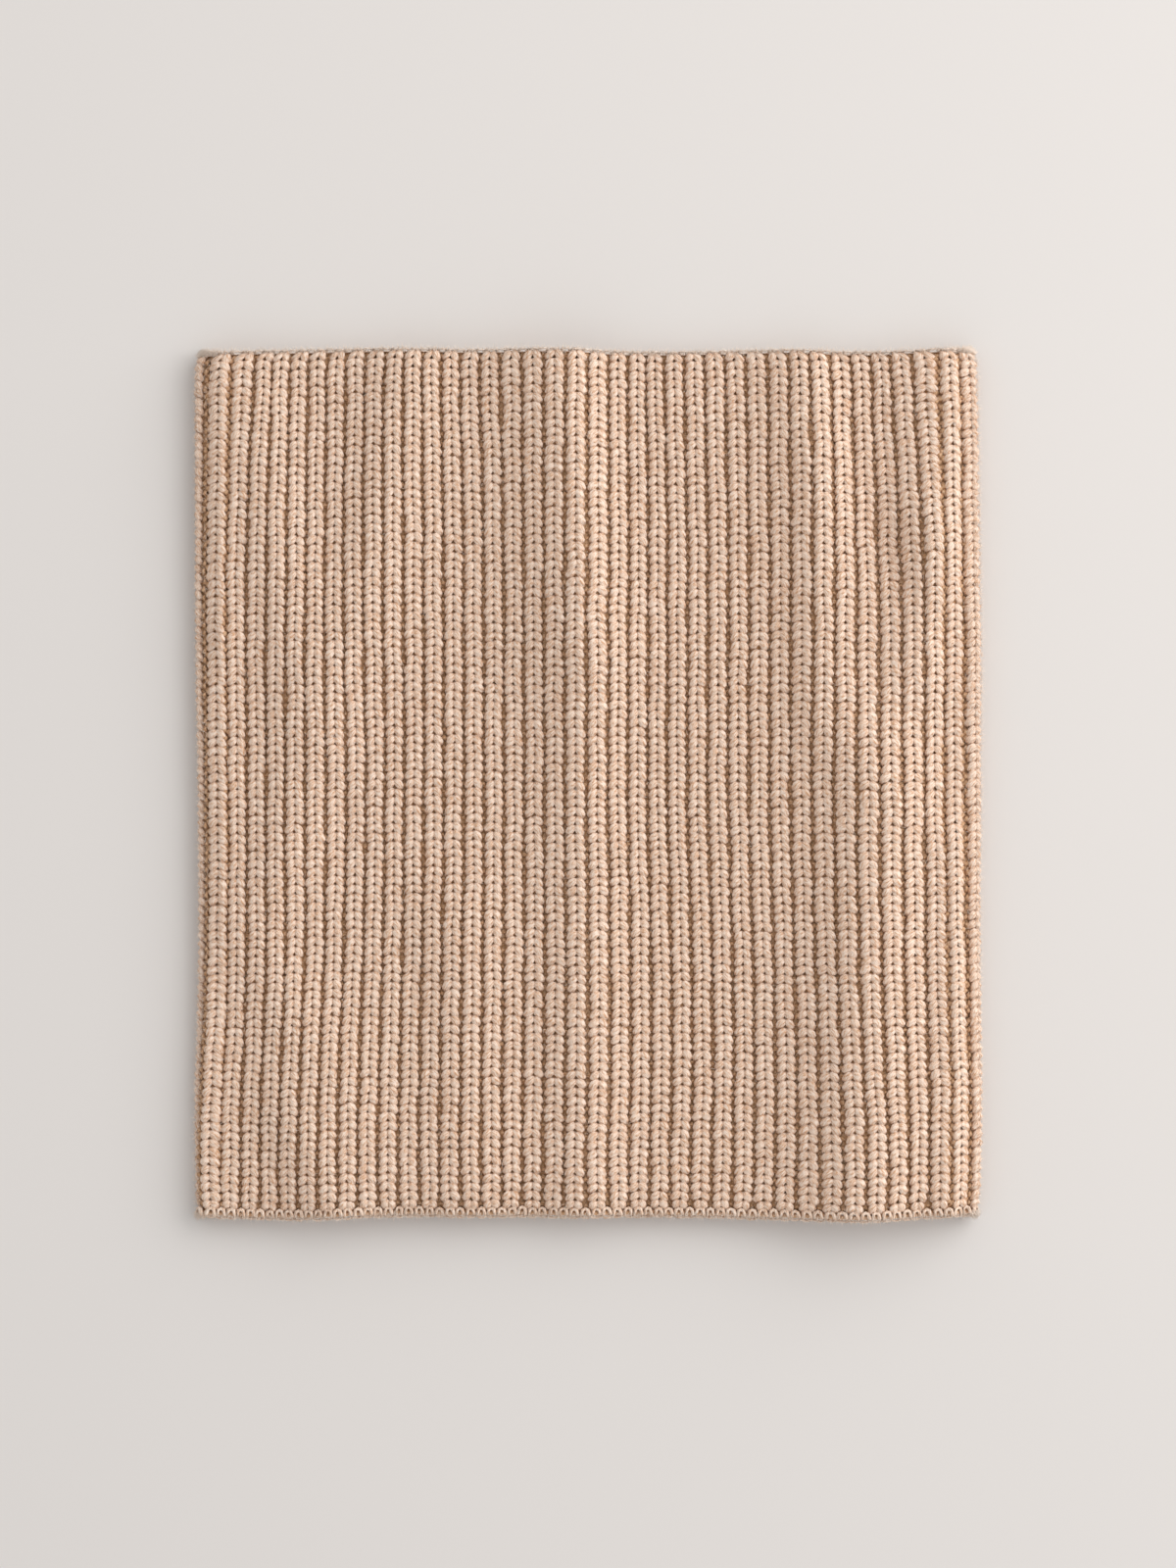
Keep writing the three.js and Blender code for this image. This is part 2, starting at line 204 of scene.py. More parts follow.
left_fold = column_curve(FOLD_LINES, "y", "left")
right_fold = column_curve(FOLD_LINES, "y", "right")
bind_off_line = column_curve(MOUTH_LINES, "x", "bind_off")
cast_on_line = column_curve(MOUTH_LINES, "x", "cast_on")
slide_columns = [
    smooth_curve([row["rib"] for row in SLIDE], [row["slides"][i] for row in SLIDE])
    for i in range(len(SLIDE_HEIGHTS))
]
mid_length = np.array([0.0])
print("folds at mid length:", left_fold(mid_length).round(1), right_fold(mid_length).round(1), "mm")

# %% [markdown]
# The height of the front can be worked out for any point. A ridge is a bell
# curve across its line and fades beyond its two ends, and heights add up where
# ridges meet. Beside a fold the two layers come together, so the height eases
# to nothing there, far from the fold for a ridge and close to it for a crease.

# %% How high the front stands
def ease(t):
    t = np.clip(t, 0, 1)
    return t * t * (3 - 2 * t)


def relief(ridges, end, x, y):
    """The height of some ridges together, each fading `end` beyond its two ends."""
    total = np.zeros_like(x)
    for ridge in ridges:
        dx, dy = ridge["x"][1] - ridge["x"][0], ridge["y"][1] - ridge["y"][0]
        length = math.hypot(dx, dy)
        along = ((x - ridge["x"][0]) * dx + (y - ridge["y"][0]) * dy) / length
        beyond = np.maximum(0, np.maximum(-along, along - length))
        across = ((x - ridge["x"][0]) * dy - (y - ridge["y"][0]) * dx) / length
        side = np.where(across > 0, ridge["left"], ridge["right"])
        total += ridge["height"] * np.exp(-((across / side) ** 2) - (beyond / end) ** 2)
    return total


def loft(x, y):
    """How far the front stands off the back, calm near both folds."""
    inward = np.minimum(x - left_fold(y), right_fold(y) - x) - FOLD_RADIUS
    soft = relief(RIDGES, RIDGE_END, x, y) * ease(inward / FOLD_CALM)
    sharp = relief(CREASES, CREASE_END, x, y) * ease(inward / CREASE_CALM)
    return np.maximum(soft + sharp, 0)


x_places, y_places = np.meshgrid(np.arange(-150.0, 150, 2), np.arange(-166.0, 166, 2))
print("the front stands off by up to", loft(x_places, y_places).max().round(1), "mm")

# %% [markdown]
# Everything on the scarf is laid on one surface, the level of the rib crests.
# A place on it has two numbers: how far round the tube, and how far along the
# ribs. Round the tube it is counted in ribs from the right fold, then turned
# into millimetres of outer skin, because the skin is stretched round a fold
# and the ribs there stand further apart.

# %% Places on the cloth
FOLD_SKIN = (math.pi / 2) * FOLD_RADIUS
SKIN_AROUND = 4 * FOLD_SKIN + 2 * FLAT_RUN


def skin_place(rib, y):
    """Millimetres of skin from the right fold's outermost line to a rib."""
    slides = np.stack([column(rib) for column in slide_columns])
    around = rib + smooth_curve(SLIDE_HEIGHTS, slides)(y) / PITCH
    fold_ribs = np.array([[0], [HALF_WAY], [RIBS_AROUND]]) + [-QUARTER_FOLD, QUARTER_FOLD]
    fold_skins = np.array([[0], [SKIN_AROUND / 2], [SKIN_AROUND]]) + [-FOLD_SKIN, FOLD_SKIN]
    return np.interp(around, fold_ribs.ravel(), fold_skins.ravel())


def on_cloth(skin, y, out):
    """Points at a place on the skin, lifted by `out` from the crests, in millimetres."""
    skin = (skin + FOLD_SKIN) % SKIN_AROUND - FOLD_SKIN
    right, left = right_fold(y) - FOLD_RADIUS, left_fold(y) + FOLD_RADIUS
    angle = np.where(skin < FOLD_SKIN, skin, 2 * FOLD_SKIN + FLAT_RUN - skin) / FOLD_RADIUS
    front = (skin - FOLD_SKIN) / FLAT_RUN
    under = (skin - 3 * FOLD_SKIN - FLAT_RUN) / FLAT_RUN
    on_front = (front > 0) & (front < 1)
    on_under = under > 0
    on_right = skin <= FOLD_SKIN
    x = np.where(on_right, right + FOLD_RADIUS * np.cos(angle), left - FOLD_RADIUS * np.cos(angle))
    x = np.where(on_front, right + (left - right) * front, x)
    x = np.where(on_under, left + (right - left) * under, x)
    out_x = np.where(on_front | on_under, 0, np.where(on_right, 1, -1) * np.cos(angle))
    out_z = np.where(on_front, 1, np.where(on_under, -1, np.sin(angle)))
    z = np.where(on_front, 2 * FOLD_RADIUS + loft(x, y), FOLD_RADIUS * (1 + out_z))
    upward = np.clip(y / LENGTH + 0.5, 0, 1)
    stray = upward * cast_on_line(x) + (1 - upward) * bind_off_line(x)
    z = np.maximum(z + out * out_z, 0)
    return np.stack([x + out * out_x, y + stray, z], axis=-1)


middle = on_cloth(np.array([SKIN_AROUND / 4]), np.array([0.0]), np.array([0.0]))[0]
print("skin round the tube", round(SKIN_AROUND, 1), "mm; front centre at", np.round(middle, 1))

# %% [markdown]
# A rib doesn't stop at full height. Over its last few millimetres it rounds
# down, along nearly a quarter of an ellipse, and grows narrower, because the
# edge there pulls the stitches together.

# %% The ends of a rib
def rib_end(y):
    """0 along most of a rib, rising to 1 at each of its two ends."""
    to_end = np.minimum(y - RIB_FOOT, KNIT_HEAD - y)
    return np.clip(1 - to_end / RIB_END["length"], 0, 1)


def shoulder(y):
    """How far a rib's crest has rounded down near its two ends."""
    drop = np.where(y < 0, RIB_END["foot_drop"], RIB_END["head_drop"])
    return drop * (1 - np.sqrt(1 - RIB_END["turn"] * rib_end(y) ** 2))


both_ends = np.array([RIB_FOOT, KNIT_HEAD])
print("crests drop at foot and head by", shoulder(both_ends).round(2), "mm")

# %% [markdown]
# The ground is the cloth itself, a closed wall with a low swell under each rib
# and a floor in each groove. It starts as a flat grid, whose rows go round the
# tube and whose columns go up the outside and down the inside. Each point is
# moved to its place, and merging the grid's edges then closes it both ways. It
# shows as the shade between stitches and as the inside of the tube, where the
# swells are fainter. Each point keeps its place in the cloth, from which the
# rows are drawn later. At a rib's ends the grooves are shallower, and the whole
# ground keeps below the rounded crest.

# %% The ground of the cloth
RIB_SWELL = [
    {"aside": -3.0, "depth": 3.2},
    {"aside": -1.9, "depth": 2.1},
    {"aside": 0, "depth": 0.95},
    {"aside": 1.9, "depth": 2.1},
    {"aside": 3.0, "depth": 3.2},
]
CREST_DEPTH = RIB_SWELL[len(RIB_SWELL) // 2]["depth"]
INNER_RELIEF = 0.25
GROUND_ENDS = (RIB_FOOT - 0.9, KNIT_HEAD - 0.9)
END_GROOVE, BELOW_CREST = 2.8, 2.2
OUTER_STATIONS, INNER_STATIONS = 40, 10


def mesh_points(obj):
    points = np.empty(len(obj.data.vertices) * 3)
    obj.data.vertices.foreach_get("co", points)
    return points.reshape(-1, 3)


def set_points(obj, points_mm):
    obj.data.vertices.foreach_set("co", (points_mm * MM).astype(np.float32).ravel())
    obj.data.update()


def deselect_all():
    for obj in bpy.context.selected_objects:
        obj.select_set(False)


def knit_ground():
    per_rib = len(RIB_SWELL)
    stations = OUTER_STATIONS + INNER_STATIONS
    turns = RIBS_AROUND * per_rib
    deselect_all()
    bpy.ops.mesh.primitive_grid_add(x_subdivisions=stations, y_subdivisions=turns, size=1)
    ground = bpy.context.object
    ground.name = "knit_ground"
    flat = mesh_points(ground) + 0.5
    station = np.rint(flat[:, 0] * stations).astype(int) % stations
    turn = np.rint(flat[:, 1] * turns).astype(int) % turns
    rib, row = turn // per_rib, turn % per_rib
    aside = np.array([swell["aside"] for swell in RIB_SWELL])[row]
    depth = np.array([swell["depth"] for swell in RIB_SWELL])[row]
    outer = station < OUTER_STATIONS
    up = station / (OUTER_STATIONS - 1)
    down = 1 - (station - OUTER_STATIONS) / (INNER_STATIONS - 1)
    y = GROUND_ENDS[0] + (GROUND_ENDS[1] - GROUND_ENDS[0]) * np.where(outer, up, down)
    skin = skin_place(rib.astype(float), y)
    depth = np.where(rib_end(y) > 0, np.minimum(depth, END_GROOVE), depth)
    inner_swell = INNER_RELIEF * (depth - CREST_DEPTH)
    out = np.where(outer, -np.maximum(depth, shoulder(y) + BELOW_CREST), inner_swell - WALL)
    set_points(ground, on_cloth(skin + aside, y, out))
    places = np.column_stack([aside, KNIT_HEAD - y, np.zeros(len(y))])
    cloth_place = ground.data.attributes.new("cloth_place", "FLOAT_VECTOR", "POINT")
    cloth_place.data.foreach_set("vector", places.astype(np.float32).ravel())
    bpy.ops.object.mode_set(mode="EDIT")
    bpy.ops.mesh.select_all(action="SELECT")
    bpy.ops.mesh.remove_doubles(threshold=0.001 * MM)
    bpy.ops.mesh.normals_make_consistent(inside=False)
    bpy.ops.object.mode_set(mode="OBJECT")
    bpy.ops.object.shade_smooth()
    return ground


ground = knit_ground()
print("ground:", len(ground.data.vertices), "points,", len(ground.data.polygons), "faces")

# %% [markdown]
# A stitch is a loop of yarn, and what shows of it on a rib is its two legs,
# which leave the middle of the rib and splay towards the grooves. Only one leg
# is modelled, as a straight piece of yarn: a six-sided disc, extruded along
# its length. Each point remembers where it lay in the straight yarn, because
# the twist of the yarn is drawn from that later. The piece is then laid along
# a leg's route. A leg of the first course, with none above it to hide its
# start, is plumper there. The back, which lies on the surface, has legs of four
# sides without the last, hidden stretch.

# %% One piece of yarn
LEG_ROUTE = [
    {"aside": 0.3, "along": -1.2, "up": -2.2, "radius": 1.1},
    {"aside": 0.85, "along": -0.75, "up": -1.5, "radius": 1.5},
    {"aside": 1.6, "along": 0.0, "up": -1.3, "radius": 1.75},
    {"aside": 2.1, "along": 0.95, "up": -1.8, "radius": 1.6},
    {"aside": 2.3, "along": 1.85, "up": -3.0, "radius": 1.2},
]
TOP_LEG_ROUTE = [
    {"aside": 0.7, "along": -1.5, "up": -2.2, "radius": 1.1},
    {"aside": 1.0, "along": -0.8, "up": -1.4, "radius": 1.6},
    *LEG_ROUTE[2:],
]
SQUASH = 0.8


def straight_yarn(route, sides):
    """Yarn of radius 1 along +Z, with a ring of points at each place of a route."""
    path = np.array([[row["aside"], row["along"], row["up"]] for row in route])
    steps = np.linalg.norm(np.diff(path, axis=0), axis=1)
    deselect_all()
    bpy.ops.mesh.primitive_circle_add(vertices=sides, radius=1, fill_type="NGON")
    yarn = bpy.context.object
    bpy.ops.object.mode_set(mode="EDIT")
    bpy.ops.mesh.select_all(action="SELECT")
    for step in steps:
        bpy.ops.mesh.extrude_region_move(TRANSFORM_OT_translate={"value": (0, 0, step)})
    bpy.ops.mesh.select_all(action="SELECT")
    bpy.ops.mesh.normals_make_consistent(inside=False)
    bpy.ops.object.mode_set(mode="OBJECT")
    return yarn, path, np.concatenate([[0], np.cumsum(steps)])


def laid_yarn(route, sides):
    """The points, yarn places and faces of a piece of yarn that lies along a route."""
    yarn, path, lengths = straight_yarn(route, sides)
    straight = mesh_points(yarn)
    faces = [list(face.vertices) for face in yarn.data.polygons]
    bpy.data.objects.remove(yarn)
    ring = np.abs(straight[:, 2:3] - lengths).argmin(axis=1)
    heading = np.gradient(path, axis=0)
    heading /= np.linalg.norm(heading, axis=1)[:, None]
    sideways = np.cross(heading, [0, 0, 1])
    sideways /= np.linalg.norm(sideways, axis=1)[:, None]
    upward = np.cross(sideways, heading)
    radius = np.array([row["radius"] for row in route])[ring][:, None]
    offset = straight[:, 0:1] * sideways[ring] + SQUASH * straight[:, 1:2] * upward[ring]
    points = path[ring] + radius * offset
    places = np.column_stack([lengths[ring], straight[:, :2] * radius])
    return {"points": points, "places": places, "faces": faces}


leg = laid_yarn(LEG_ROUTE, sides=6)
top_leg = laid_yarn(TOP_LEG_ROUTE, sides=6)
plain_leg = laid_yarn(LEG_ROUTE[:-1], sides=4)
plain_top_leg = laid_yarn(TOP_LEG_ROUTE[:-1], sides=4)
print("leg:", len(leg["points"]), "points,", len(leg["faces"]), "faces")

# %% [markdown]
# Knitting repeats that leg thousands of times, and its rows are never quite
# straight. The first course lies a little over half a course from the top. The
# courses drift up and down from rib to rib, calmer near the two mouths, and
# each rib meanders from side to side in three overlaid waves. All chance here
# comes from one seeded generator, so the scarf is the same each time it is
# built.

# %% Drift and wander
rng = np.random.default_rng(2031)
COURSE_DRIFT = {"amount": 0.5, "ribs": 9.0, "courses": 17.0, "calm": 4.0}
RIB_WANDER = {"amount": 0.11, "lengths": (23.0, 41.0, 67.0)}
FIRST_COURSE = 0.6
rib_phases = rng.uniform(0, 2 * math.pi, (RIBS_AROUND, len(RIB_WANDER["lengths"])))


def wander(rib, y):
    """A rib's own small meander from side to side."""
    lengths = np.array(RIB_WANDER["lengths"])
    phase = rib_phases[rib.astype(int) % RIBS_AROUND]
    waves = np.sin(2 * math.pi * y[:, None] / lengths + phase)
    return RIB_WANDER["amount"] * waves.sum(axis=1)


def course_y(rib, course):
    """Where a course crosses a rib: cast on at the top, so it counts downwards."""
    drift = np.sin(rib / COURSE_DRIFT["ribs"] * 2 * math.pi + course / COURSE_DRIFT["courses"])
    calm = np.clip(np.minimum(course, COURSES - 1 - course) / COURSE_DRIFT["calm"], 0, 1)
    return KNIT_HEAD - COURSE * (course + FIRST_COURSE) + COURSE_DRIFT["amount"] * drift * calm


one_rib = course_y(np.zeros(COURSES), np.arange(COURSES))
print("courses on a rib run from", one_rib.max().round(1), "to", one_rib.min().round(1), "mm")

# %% [markdown]
# Instances of one leg couldn't bend with the cloth, so the copies are plain
# arrays of points. Each one is turned, scaled and shifted a little, and later
# all of them become one joined mesh. Two attributes go with its points. The
# place in the yarn starts somewhere else along the same yarn for each copy, and
# a tone makes one stitch a shade lighter or darker than the next.

# %% Many copies in one mesh
YARN_LENGTH = 40


def joined_mesh(name, template, points, tones):
    """One mesh of many copies of a template. `points` is copies x points x 3."""
    copies, count = points.shape[:2]
    corners = np.concatenate(template["faces"])
    sizes = np.array([len(face) for face in template["faces"]])
    copy = np.arange(copies)[:, None]
    mesh = bpy.data.meshes.new(name)
    mesh.vertices.add(copies * count)
    mesh.vertices.foreach_set("co", (points * MM).astype(np.float32).ravel())
    mesh.loops.add(copies * len(corners))
    mesh.loops.foreach_set("vertex_index", (copy * count + corners).astype(np.int32).ravel())
    mesh.polygons.add(copies * len(sizes))
    first = np.concatenate([[0], np.cumsum(sizes)[:-1]])
    mesh.polygons.foreach_set("loop_start", (copy * len(corners) + first).astype(np.int32).ravel())
    mesh.update(calc_edges=True)
    places = np.tile(template["places"], (copies, 1, 1))
    places[..., 0] += rng.uniform(0, YARN_LENGTH, copies)[:, None]
    yarn_place = mesh.attributes.new("yarn_place", "FLOAT_VECTOR", "POINT")
    yarn_place.data.foreach_set("vector", places.astype(np.float32).ravel())
    tone = mesh.attributes.new("tone", "FLOAT", "POINT")
    tone.data.foreach_set("value", np.repeat(tones, count).astype(np.float32))
    obj = bpy.data.objects.new(name, mesh)
    bpy.context.scene.collection.objects.link(obj)
    deselect_all()
    obj.select_set(True)
    bpy.context.view_layer.objects.active = obj
    bpy.ops.object.shade_smooth()
    return obj


def mirrored(template):
    flipped = template["points"] * [-1, 1, 1]
    return {**template, "points": flipped, "faces": [face[::-1] for face in template["faces"]]}


def uneven(template, copies, turn=3.5, grow=0.045, shift=(0.09, 0.1, 0.08)):
    """Copies of a template's points, each turned, scaled and shifted a little."""
    angle = np.radians(rng.normal(0, turn, copies))[:, None]
    size = 1 + rng.normal(0, grow, (copies, 1, 3))
    offset = rng.normal(0, 1, (copies, 1, 3)) * shift
    points = template["points"][None] * size
    across = points[..., 0] * np.cos(angle) - points[..., 1] * np.sin(angle)
    along = points[..., 0] * np.sin(angle) + points[..., 1] * np.cos(angle)
    return np.stack([across, along, points[..., 2]], axis=-1) + offset


# %% [markdown]
# Each rib is two rows of legs, one the mirror of the other. A leg is as wide
# as its rib has room for, within limits, and none reaches past the edges. The
# front is made as three pieces and the back as two, so that no mesh grows too
# large.

# %% The ribs
RIB_WIDTHS = (0.88, 1.22)
YARN_ENDS = (RIB_FOOT - 1.2, KNIT_HEAD + 0.3)
FRONT_RIBS = {"front_ribs_right": range(0, 13), "front_ribs_middle": range(13, 26),
              "front_ribs_left": range(26, 39)}
BACK_RIBS = {"back_ribs_left": range(39, 58), "back_ribs_right": range(58, 76)}


def grid_of(ribs, courses):
    rib, course = np.meshgrid(ribs, courses, indexing="ij")
    return rib.ravel().astype(float), course.ravel().astype(float)


def lay_stitches(points, rib, course):
    """Lays copies, one for each rib and course, on the cloth."""
    count = points.shape[1]
    y_middle = course_y(rib, course)
    y = np.repeat(y_middle, count) - points[..., 1].ravel()
    y = np.clip(y, *YARN_ENDS)
    middle = skin_place(rib, y_middle) + wander(rib, y_middle)
    spacing = (skin_place(rib + 0.5, y_middle) - skin_place(rib - 0.5, y_middle)) / PITCH
    width = np.repeat(np.clip(spacing, *RIB_WIDTHS), count)
    width *= 1 - RIB_END["narrower"] * rib_end(y) ** 2
    skin = np.repeat(middle, count) + points[..., 0].ravel() * width
    out = points[..., 2].ravel() - shoulder(y)
    return on_cloth(skin, y, out).reshape(points.shape)


def joined(name, parts):
    deselect_all()
    for part in parts:
        part.select_set(True)
    bpy.context.view_layer.objects.active = parts[0]
    bpy.ops.object.join()
    parts[0].name = name
    return parts[0]


def rib_stitches(name, template, top_template, ribs):
    """Both legs of every stitch on some ribs, as one mesh."""
    parts = []
    for shape, courses in ((template, np.arange(1, COURSES)), (top_template, np.arange(1))):
        rib, course = grid_of(ribs, courses)
        for side in (shape, mirrored(shape)):
            laid = lay_stitches(uneven(side, len(rib)), rib, course)
            parts.append(joined_mesh(name, side, laid, rng.normal(0, 1, len(rib))))
    return joined(name, parts)


ribs = [rib_stitches(name, leg, top_leg, numbers) for name, numbers in FRONT_RIBS.items()]
ribs += [rib_stitches(name, plain_leg, plain_top_leg, numbers) for name, numbers in BACK_RIBS.items()]
for piece in ribs:
    print(piece.name, len(piece.data.polygons), "faces")

# %% [markdown]
# Between two ribs the stitches show their backs: each course crosses the
# groove as a short bowed strand, deep down, and together they look like a
# zigzag of small beads. They show best beside the folds, where the grooves
# open and get a bead on each side as well. Right at a fold a groove is pulled
# so wide that its strands come up nearly as high as the ribs.

# %% The grooves
PURL_ROUTE = [
    {"aside": -1.6, "along": 0.9, "up": -3.8, "radius": 0.8},
    {"aside": 0, "along": 0, "up": -2.8, "radius": 1.0},
    {"aside": 1.6, "along": 0.9, "up": -3.8, "radius": 0.8},
]
BEAD_ROUTE = [
    {"aside": 1.3, "along": -1.2, "up": -3.2, "radius": 0.75},
    {"aside": 0.95, "along": 0.0, "up": -2.1, "radius": 1.2},
    {"aside": 0.5, "along": 1.2, "up": -3.2, "radius": 0.75},
]
WIDE_ROUTE = [
    {"aside": -3.2, "along": 0.9, "up": -3.4, "radius": 1.1},
    {"aside": -1.6, "along": 0.1, "up": -1.9, "radius": 1.5},
    {"aside": 0, "along": -0.4, "up": -1.6, "radius": 1.6},
    {"aside": 1.6, "along": 0.1, "up": -1.9, "radius": 1.5},
    {"aside": 3.2, "along": 0.9, "up": -3.4, "radius": 1.1},
]
FRONT_GROOVES = np.arange(0, HALF_WAY) + 0.5
BACK_GROOVES = np.arange(HALF_WAY + 1, RIBS_AROUND - 1) + 0.5
OPEN_GROOVES = np.array([0.5, 1.5, HALF_WAY - 1.5, HALF_WAY - 0.5])
FOLD_GROOVES = np.array([-0.5, HALF_WAY + 0.5])
purl = laid_yarn(PURL_ROUTE, sides=4)
bead = laid_yarn(BEAD_ROUTE, sides=5)
wide = laid_yarn(WIDE_ROUTE, sides=5)


def groove_stitches(name, template, grooves, down=0.0):
    """One copy of a template for each groove and course, `down` courses lower."""
    rib, course = grid_of(grooves, np.arange(COURSES) + down)
    laid = lay_stitches(uneven(template, len(rib), turn=12, shift=(0.2, 0.2, 0.1)), rib, course)
    return joined_mesh(name, template, laid, rng.normal(0, 1, len(rib)))


grooves = [
    groove_stitches("front_grooves", purl, FRONT_GROOVES),
    groove_stitches("back_grooves", purl, BACK_GROOVES),
    groove_stitches("open_grooves_left_beads", mirrored(bead), OPEN_GROOVES),
    groove_stitches("open_grooves_right_beads", bead, OPEN_GROOVES, down=0.5),
    groove_stitches("fold_grooves", wide, FOLD_GROOVES),
]
for piece in grooves:
    print(piece.name, len(piece.data.polygons), "faces")

# %% [markdown]
# At the lower mouth the stitches are closed by a chain: each link is a pair of
# strands that leaves the link before it, bows out, and dives under the next.
# At the upper mouth the cast-on is a thinner row of the same links. Each row
# lies on a rounded core, a bead that goes once round the mouth. The core is a
# torus whose points are moved to the mouth, so its first size hardly matters.

# %% The two edges
LINK = GIRTH / (2 * RIBS_AROUND)
ARCH_ROUTE = [
    {"aside": -1.45, "along": 2.2, "up": -0.9, "radius": 0.5},
    {"aside": -1.4, "along": 0.6, "up": 0.0, "radius": 0.62},
    {"aside": -0.9, "along": -1.0, "up": 0.2, "radius": 0.7},
    {"aside": 0.1, "along": -1.6, "up": 0.3, "radius": 0.75},
    {"aside": 1.1, "along": -1.0, "up": 0.2, "radius": 0.7},
    {"aside": 1.5, "along": 0.6, "up": 0.0, "radius": 0.62},
    {"aside": 1.6, "along": 2.2, "up": -0.9, "radius": 0.5},
]
RIM_ROUTE = [
    {"aside": -2.2, "along": 2.5, "up": -0.6, "radius": 0.45},
    {"aside": -0.8, "along": 2.9, "up": -0.1, "radius": 0.55},
    {"aside": 0.8, "along": 2.9, "up": -0.1, "radius": 0.55},
    {"aside": 2.2, "along": 2.5, "up": -0.6, "radius": 0.45},
]
CORE_LIFT, CHAIN_LIFT = -0.8, 0.15
CORE_SIDES, CORE_SEGMENTS = 10, 3 * RIBS_AROUND


def edge_frame(middle_y, edge, around_mm, angle, lift):
    """Points round an edge's core: `angle` 0 faces out of the cloth, and a
    quarter turn faces out of the mouth."""
    outward = 1 if middle_y > 0 else -1
    rib = around_mm / PITCH
    across = (edge["thickness"] / 2 + lift) * np.cos(angle)
    beyond = (edge["height"] / 2 + lift) * np.sin(angle) * outward
    y = np.full_like(around_mm, float(middle_y))
    points = on_cloth(skin_place(rib, y), y, across - WALL / 2)
    points[..., 1] += beyond
    return points


def edge_core(name, middle_y, edge):
    deselect_all()
    bpy.ops.mesh.primitive_torus_add(
        major_segments=CORE_SEGMENTS, minor_segments=CORE_SIDES,
        major_radius=WIDTH / 2 * MM, minor_radius=edge["thickness"] / 2 * MM)
    core = bpy.context.object
    core.name = name
    point = np.arange(CORE_SEGMENTS * CORE_SIDES)
    around = (point // CORE_SIDES) * GIRTH / CORE_SEGMENTS
    angle = (point % CORE_SIDES) * 2 * math.pi / CORE_SIDES
    set_points(core, edge_frame(middle_y, edge, around, angle, np.full(len(point), CORE_LIFT)))
    bpy.ops.object.mode_set(mode="EDIT")
    bpy.ops.mesh.select_all(action="SELECT")
    bpy.ops.mesh.normals_make_consistent(inside=False)
    bpy.ops.object.mode_set(mode="OBJECT")
    bpy.ops.object.shade_smooth()
    return core


def edge_chain(name, middle_y, edge, facing, size):
    """A row of links round an edge, whose middle faces `facing` degrees from
    the cloth's own way out towards the mouth."""
    number = np.arange(2 * RIBS_AROUND)
    rows = []
    for route in (ARCH_ROUTE, RIM_ROUTE):
        strand = laid_yarn(route, sides=5)
        points = uneven(strand, len(number), turn=4, grow=0.06, shift=(0.12, 0.1, 0.08))
        around = number[:, None] * LINK + points[..., 0]
        angle = math.radians(facing) + points[..., 1] * size / (edge["thickness"] / 2)
        lift = points[..., 2] * size + CHAIN_LIFT
        laid = edge_frame(middle_y, edge, around.ravel(), angle.ravel(), lift.ravel())
        laid = laid.reshape(points.shape)
        rows.append(joined_mesh(name, strand, laid, rng.normal(0, 1, len(number))))
    return joined(name, rows)


bind_off_y = -LENGTH / 2 + BIND_OFF["height"] / 2
cast_on_y = LENGTH / 2 - CAST_ON["height"] / 2 - SEAM_GAP
bind_off_core = edge_core("bind_off_core", bind_off_y, BIND_OFF)
bind_off = edge_chain("bind_off_chain", bind_off_y, BIND_OFF, facing=-8, size=1.12)
cast_on_core = edge_core("cast_on_core", cast_on_y, CAST_ON)
cast_on = edge_chain("cast_on_links", cast_on_y, CAST_ON, facing=95, size=0.75)
print("bind-off", len(bind_off.data.polygons), "faces, cast-on", len(cast_on.data.polygons), "faces")

# %% [markdown]
# The yarn is a soft brushed wool blend, so single fibres stand out of it all
# over, and against the light they blur the outline. Hair curves would be
# lighter to draw, but they aren't a mesh that can be kept. So each fibre is a
# needle of four faces, rooted in the stitches and leaning some way over. Most
# of them are at the folds and mouths, where the outline is. A real fibre is
# about 0.03 mm thick, and these are drawn coarser, so that they show. None of
# them reaches below the surface.

# %% The halo of fibres
FIBRES = 27000
FIBRE = {"short": 1.0, "long": 2.8, "radius": 0.08, "root": -0.8, "stray": 0.75, "past_mouth": 1.6}
AT_FOLDS = {"share": 0.5, "ribs": (-0.3, HALF_WAY), "spread": 0.3}
AT_MOUTHS = {"share": 0.4, "places": (RIB_FOOT - 2.5, KNIT_HEAD - 0.4), "spread": 0.6}
LOWEST = 0.02


